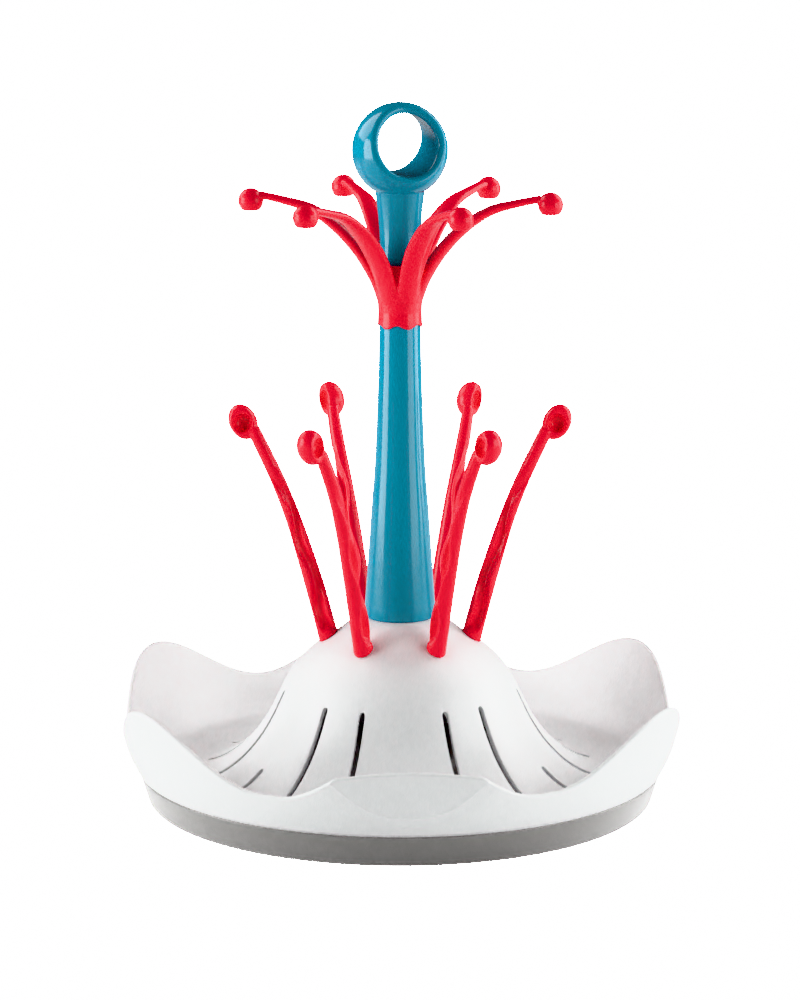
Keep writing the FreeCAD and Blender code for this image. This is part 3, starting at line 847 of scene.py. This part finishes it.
def beside_egg(points):
    """Moves points drawn about the egg's own centre to its place at the peg's tip."""
    lean = math.radians(EGG_LEAN)
    c, t = math.cos(lean), math.sin(lean)
    turned = np.asarray(points) @ np.array([[c, 0, -t], [0, 1, 0], [t, 0, c]])
    return turned + np.array([EGG_CENTRE[0], -EGG_BACK_SHIFT, EGG_CENTRE[1]])


def egg_shape():
    """Egg-shaped tip, cut flat on the side that faces +Y."""
    face = EGG_FACE / EGG_HALF[0]
    rim = math.sqrt(1 - face * face)
    profile = [(AXIS, face), (rim * 0.5, face), (rim - 0.05, face)]
    for a in np.linspace(math.asin(face) - 0.08, -math.pi / 2, 36):
        profile.append((max(math.cos(a), AXIS), math.sin(a)))
    points, faces = lathe(profile, 96, axis="Y")
    return beside_egg(points * np.array([EGG_HALF[0], EGG_HALF[0], EGG_HALF[1]])), faces


def build_peg_shape():
    """Peg pointing along +X: shaft, egg tip with its round recess, and spigot, fused into one moulding."""
    points, faces = lathe(rod_outline(3.0, -PEG_SPIGOT_LENGTH, PEG_SPIGOT_RADIUS, 0.5), 48)
    spigot = (along_socket(points), faces)
    peg = make_object("peg_shape", *joined([shaft_shape(), egg_shape(), spigot]))
    fused(peg, 0.40, 2)
    points, faces = lathe(RECESS, 96, axis="Y")
    carved(peg, make_object("cutter", beside_egg(points), faces))
    return fused(peg, 0.32, 5)


def build_pegs(materials):
    """The six pegs from one pattern; the ones on the right are its mirror image."""
    pattern = build_peg_shape()
    base = np.array([v.co for v in pattern.data.vertices])
    polygons = [tuple(p.vertices) for p in pattern.data.polygons]
    bpy.data.objects.remove(pattern)
    for name, angle, side in PEGS:
        points = base * np.array([1, side, 1])
        shape = polygons if side > 0 else [tuple(reversed(p)) for p in polygons]
        mesh = bpy.data.meshes.new(name + "_moulding")
        mesh.from_pydata([tuple(p) for p in turn_about_z(points, angle + PEG_TURN)], [], shape)
        mesh.shade_smooth()
        obj = bpy.data.objects.new(name + "_moulding", mesh)
        bpy.context.scene.collection.objects.link(obj)
        finish_piece(obj, name + "_body", name, "red_plastic", materials)


# ---------------------------------------------------------------- stage

CAMERA_ELEVATION = 11.45
CAMERA_TURN = -1.8
CAMERA_DISTANCE = 1.7941
CAMERA_TARGET = 0.1471
CAMERA_LENS = 133.8
FLOOR_HALF = 12.0
FLOOR_COLOUR = (0.92, 0.92, 0.92)
BACKDROP_STRENGTH = 40.0
FILL_STRENGTH = 0.06
LIGHT_TARGET = 0.15
# name, degrees right of the front, degrees up, distance, (width, height), power
SOFT_BOXES = [
    ("left_box", -80.0, 9.0, 1.2, (0.74, 0.74), 16.0),
    ("right_box", 57.0, 9.0, 1.2, (0.74, 0.74), 8.5),
    ("right_side_box", 98.0, 9.0, 1.2, (0.6, 0.74), 9.0),
    ("left_back_box", -118.0, 38.0, 1.2, (0.8, 0.8), 9.0),
    ("right_back_box", 118.0, 38.0, 1.2, (0.8, 0.8), 9.0),
]


def build_camera():
    """Long lens a little above the object, in front of it."""
    data = bpy.data.cameras.new("camera")
    data.lens = CAMERA_LENS
    data.sensor_width = 36.0
    data.sensor_fit = "AUTO"
    camera = bpy.data.objects.new("camera", data)
    bpy.context.scene.collection.objects.link(camera)
    e, t = math.radians(CAMERA_ELEVATION), math.radians(CAMERA_TURN)
    back = Vector((math.sin(t) * math.cos(e), -math.cos(t) * math.cos(e), math.sin(e)))
    camera.location = Vector((0, 0, CAMERA_TARGET)) + back * CAMERA_DISTANCE
    camera.rotation_mode = "QUATERNION"
    camera.rotation_quaternion = (-back).to_track_quat("-Z", "Y")
    bpy.context.scene.camera = camera


def area_light(name, azimuth, elevation, distance, size, power):
    """Soft box aimed at the object; azimuth is measured from the front, positive to the right."""
    data = bpy.data.lights.new(name, "AREA")
    data.shape = "RECTANGLE"
    data.size, data.size_y = size
    data.energy = power
    light = bpy.data.objects.new(name, data)
    bpy.context.scene.collection.objects.link(light)
    a, e = math.radians(azimuth), math.radians(elevation)
    away = Vector((math.sin(a) * math.cos(e), -math.cos(a) * math.cos(e), math.sin(e)))
    light.location = Vector((0, 0, LIGHT_TARGET)) + away * distance
    light.rotation_mode = "QUATERNION"
    light.rotation_quaternion = (-away).to_track_quat("-Z", "Y")


def white_behind(tree, lit, output):
    """Shows the camera plain white, while the light that reaches the object comes from lit."""
    white = tree.nodes.new("ShaderNodeEmission" if output.bl_idname == "ShaderNodeOutputMaterial"
                           else "ShaderNodeBackground")
    white.inputs["Strength"].default_value = BACKDROP_STRENGTH
    path = tree.nodes.new("ShaderNodeLightPath")
    choose = tree.nodes.new("ShaderNodeMixShader")
    tree.links.new(path.outputs["Is Camera Ray"], choose.inputs[0])
    tree.links.new(lit.outputs[0], choose.inputs[1])
    tree.links.new(white.outputs[0], choose.inputs[2])
    tree.links.new(choose.outputs[0], output.inputs["Surface"])
    white.inputs["Color"].default_value = (1, 1, 1, 1)


def build_stage():
    """White floor, faint even fill and five soft boxes round the object."""
    mesh = bpy.data.meshes.new("floor")
    s = FLOOR_HALF
    mesh.from_pydata([(-s, -s, 0), (s, -s, 0), (s, s, 0), (-s, s, 0)], [], [(0, 1, 2, 3)])
    floor = bpy.data.objects.new("floor", mesh)
    bpy.context.scene.collection.objects.link(floor)
    material = bpy.data.materials.new("floor_white")
    material.use_nodes = True
    shader = material.node_tree.nodes["Principled BSDF"]
    shader.inputs["Base Color"].default_value = (*FLOOR_COLOUR, 1)
    shader.inputs["Roughness"].default_value = 0.9
    white_behind(material.node_tree, shader, material.node_tree.nodes["Material Output"])
    mesh.materials.append(material)
    world = bpy.data.worlds.new("studio")
    world.use_nodes = True
    background = world.node_tree.nodes["Background"]
    background.inputs["Color"].default_value = (1, 1, 1, 1)
    background.inputs["Strength"].default_value = FILL_STRENGTH
    white_behind(world.node_tree, background, world.node_tree.nodes["World Output"])
    bpy.context.scene.world = world
    for light in SOFT_BOXES:
        area_light(*light)
    bpy.context.scene.view_settings.view_transform = "Khronos PBR Neutral"


def main():
    materials = make_materials()
    build_camera()
    build_stage()
    finish_piece(build_tray(), "tray", "drip_tray", "tray_grey", materials)
    bowl = build_bowl()
    sockets = build_sockets(bowl)
    rounded_edges(bowl, 0.3, 48.0, 2)
    finish_piece(bowl, "bowl", "drainer_bowl", "bowl_white", materials)
    sockets.data.materials.append(materials["bowl_white"])
    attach(sockets, "bowl")
    finish_piece(build_trunk(), "trunk_body", "trunk", "blue_plastic", materials)
    finish_piece(build_crown(), "crown", "branch_crown", "red_plastic", materials)
    finish_piece(build_handle(), "handle_body", "handle", "blue_plastic", materials)
    build_pegs(materials)


main()
